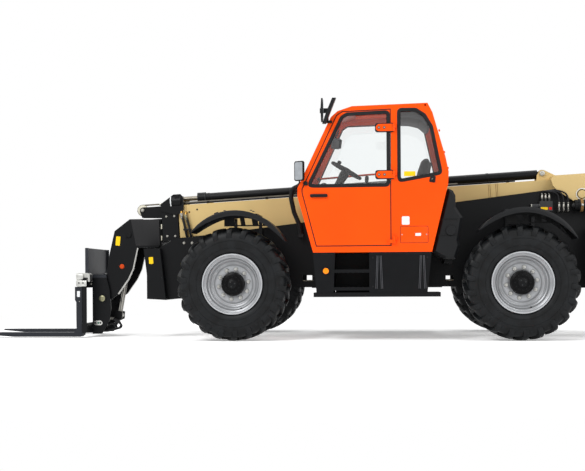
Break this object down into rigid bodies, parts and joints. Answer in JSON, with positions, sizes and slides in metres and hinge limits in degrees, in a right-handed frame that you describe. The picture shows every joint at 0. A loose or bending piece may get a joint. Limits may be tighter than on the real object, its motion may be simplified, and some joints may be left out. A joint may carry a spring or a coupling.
{
  "type": "telehandler",
  "caption": "Rough-terrain telescopic handler with side cab, nested boom lowered beside it, gooseneck head and pallet forks, on steered wheels at both axles",
  "frame": {"origin": "on the ground under the middle of the machine's box", "axes": "front of the machine and forks toward -X, cab side toward -Y, up +Z"},
  "size_m": [7.47, 2.475, 2.6],
  "materials": {
    "orange_paint": "satin cab paint",
    "cream_paint": "satin boom paint",
    "black_paint": "semi-gloss black paint",
    "grey_paint": "satin dark grey paint",
    "silver_paint": "silver wheel paint",
    "tyre": "ribbed rubber",
    "glass": "clear tinted glass",
    "chrome": "hard chrome rod",
    "steel": "bare steel",
    "plastic": "moulded black plastic",
    "seat_fabric": "woven seat cloth",
    "lamp": "lamp lens",
    "zinc": "zinc plating",
    "hose": "ribbed hose rubber",
    "engine": "cast block"
  },
  "bodies": {
    "chassis": {"cab_glass": "glass", "cab_shell": "orange_paint", "chassis_frame": "black_paint", "counterweight": "black_paint", "drive_shafts": "steel", "engine_block": "engine", "engine_frame": "black_paint", "front_axle": "black_paint", "front_conduit": "hose", "front_fenders": "plastic", "fuel_tank": "plastic", "hydraulic_canister": "black_paint", "lamps": "lamp", "left_sill": "black_paint", "mirrors": "plastic", "operator_seat": "seat_fabric", "rear_axle": "black_paint", "rear_fenders": "plastic", "seat_base": "plastic", "side_lockers": "grey_paint", "steering_console": "plastic", "transfer_case": "engine", "valve_block": "zinc"},
    "boom_outer": {"boom_outer": "cream_paint", "extension_barrel": "black_paint", "boom_pipes": "steel"},
    "boom_section_2": {"boom_section_2": "black_paint", "extension_rod": "chrome"},
    "boom_section_3": {"boom_section_3": "black_paint", "extension_sheave": "steel", "extension_chain": "steel"},
    "boom_fly": {"boom_fly": "black_paint"},
    "lift_barrel": {"lift_barrel": "black_paint"},
    "lift_rod": {"lift_rod": "chrome"},
    "tilt_barrel": {"tilt_barrel": "black_paint"},
    "tilt_rod": {"tilt_rod": "chrome"},
    "carriage": {"fork_carriage": "black_paint", "forks": "black_paint", "fork_hooks": "zinc", "carriage_hoses": "hose"},
    "cab_door": {"cab_door": "orange_paint", "door_glass": "glass", "door_handle": "plastic"},
    "engine_hood": {"engine_hood": "grey_paint", "hood_grille": "plastic"},
    "knuckle_front_left": {"knuckle_front_left": "black_paint"},
    "wheel_front_left": {"rim_front_left": "silver_paint", "tyre_front_left": "tyre"},
    "knuckle_front_right": {"knuckle_front_right": "black_paint"},
    "wheel_front_right": {"rim_front_right": "silver_paint", "tyre_front_right": "tyre"},
    "knuckle_rear_left": {"knuckle_rear_left": "black_paint"},
    "wheel_rear_left": {"rim_rear_left": "silver_paint", "tyre_rear_left": "tyre"},
    "knuckle_rear_right": {"knuckle_rear_right": "black_paint"},
    "wheel_rear_right": {"rim_rear_right": "silver_paint", "tyre_rear_right": "tyre"}
  },
  "joints": [
    {"name": "boom_lift", "type": "hinge", "parent": "chassis", "child": "boom_outer", "pos_m": [3.255, 0, 1.607], "axis": [0, 1, 0], "range_deg": [0, 70]},
    {"name": "boom_extend_2", "type": "slide", "parent": "boom_outer", "child": "boom_section_2", "axis": [-0.9984, 0, -0.0558], "range_m": [0, 3.4]},
    {"name": "boom_extend_3", "type": "slide", "parent": "boom_section_2", "child": "boom_section_3", "axis": [-0.9984, 0, -0.0558], "range_m": [0, 3.4]},
    {"name": "boom_extend_fly", "type": "slide", "parent": "boom_section_3", "child": "boom_fly", "axis": [-0.9984, 0, -0.0558], "range_m": [0, 3.4]},
    {"name": "fork_tilt", "type": "hinge", "parent": "boom_fly", "child": "carriage", "pos_m": [-2.285, 0, 0.455], "axis": [0, 1, 0], "range_deg": [-90, 12]},
    {"name": "tilt_barrel_swing", "type": "hinge", "parent": "boom_fly", "child": "tilt_barrel", "pos_m": [-1.975, 0, 1.2], "axis": [0, 1, 0], "range_deg": [-6, 2]},
    {"name": "tilt_rod_slide", "type": "slide", "parent": "tilt_barrel", "child": "tilt_rod", "axis": [-0.1761, 0, -0.9844], "range_m": [-0.352, 0.048]},
    {"name": "lift_barrel_swing", "type": "hinge", "parent": "chassis", "child": "lift_barrel", "pos_m": [2.995, 0, 0.62], "axis": [0, 1, 0], "range_deg": [0, 43.7]},
    {"name": "lift_rod_slide", "type": "slide", "parent": "lift_barrel", "child": "lift_rod", "axis": [-0.8384, 0, 0.545], "range_m": [0, 0.921]},
    {"name": "steer_front_left", "type": "hinge", "parent": "chassis", "child": "knuckle_front_left", "pos_m": [-0.605, -0.8, 0.62], "axis": [0, 0, 1], "range_deg": [-35, 35]},
    {"name": "roll_front_left", "type": "hinge", "parent": "knuckle_front_left", "child": "wheel_front_left", "pos_m": [-0.605, -1, 0.62], "axis": [0, 1, 0], "continuous": true},
    {"name": "steer_front_right", "type": "hinge", "parent": "chassis", "child": "knuckle_front_right", "pos_m": [-0.605, 0.8, 0.62], "axis": [0, 0, 1], "range_deg": [-35, 35]},
    {"name": "roll_front_right", "type": "hinge", "parent": "knuckle_front_right", "child": "wheel_front_right", "pos_m": [-0.605, 1, 0.62], "axis": [0, 1, 0], "continuous": true},
    {"name": "steer_rear_left", "type": "hinge", "parent": "chassis", "child": "knuckle_rear_left", "pos_m": [2.495, -0.8, 0.62], "axis": [0, 0, 1], "range_deg": [-35, 35]},
    {"name": "roll_rear_left", "type": "hinge", "parent": "knuckle_rear_left", "child": "wheel_rear_left", "pos_m": [2.495, -1, 0.62], "axis": [0, 1, 0], "continuous": true},
    {"name": "steer_rear_right", "type": "hinge", "parent": "chassis", "child": "knuckle_rear_right", "pos_m": [2.495, 0.8, 0.62], "axis": [0, 0, 1], "range_deg": [-35, 35]},
    {"name": "roll_rear_right", "type": "hinge", "parent": "knuckle_rear_right", "child": "wheel_rear_right", "pos_m": [2.495, 1, 0.62], "axis": [0, 1, 0], "continuous": true},
    {"name": "door_swing", "type": "hinge", "parent": "chassis", "child": "cab_door", "pos_m": [1.145, -1.172, 1.7], "axis": [0, 0, 1], "range_deg": [0, 100]},
    {"name": "hood_lift", "type": "hinge", "parent": "chassis", "child": "engine_hood", "pos_m": [0.895, 0.386, 1.672], "axis": [1, 0, 0], "range_deg": [0, 60]}
  ],
  "couplings": [
    {"joint": "boom_extend_3", "follows": "boom_extend_2", "ratio": 1},
    {"joint": "boom_extend_fly", "follows": "boom_extend_2", "ratio": 1},
    {"joint": "tilt_barrel_swing", "follows": "fork_tilt", "ratio": 0.06},
    {"joint": "tilt_rod_slide", "follows": "fork_tilt", "m_per_rad": 0.2235},
    {"joint": "lift_barrel_swing", "follows": "boom_lift", "ratio": 0.6233},
    {"joint": "lift_rod_slide", "follows": "boom_lift", "m_per_rad": 0.7531},
    {"joint": "steer_front_right", "follows": "steer_front_left", "ratio": 1},
    {"joint": "steer_rear_right", "follows": "steer_rear_left", "ratio": 1}
  ]
}
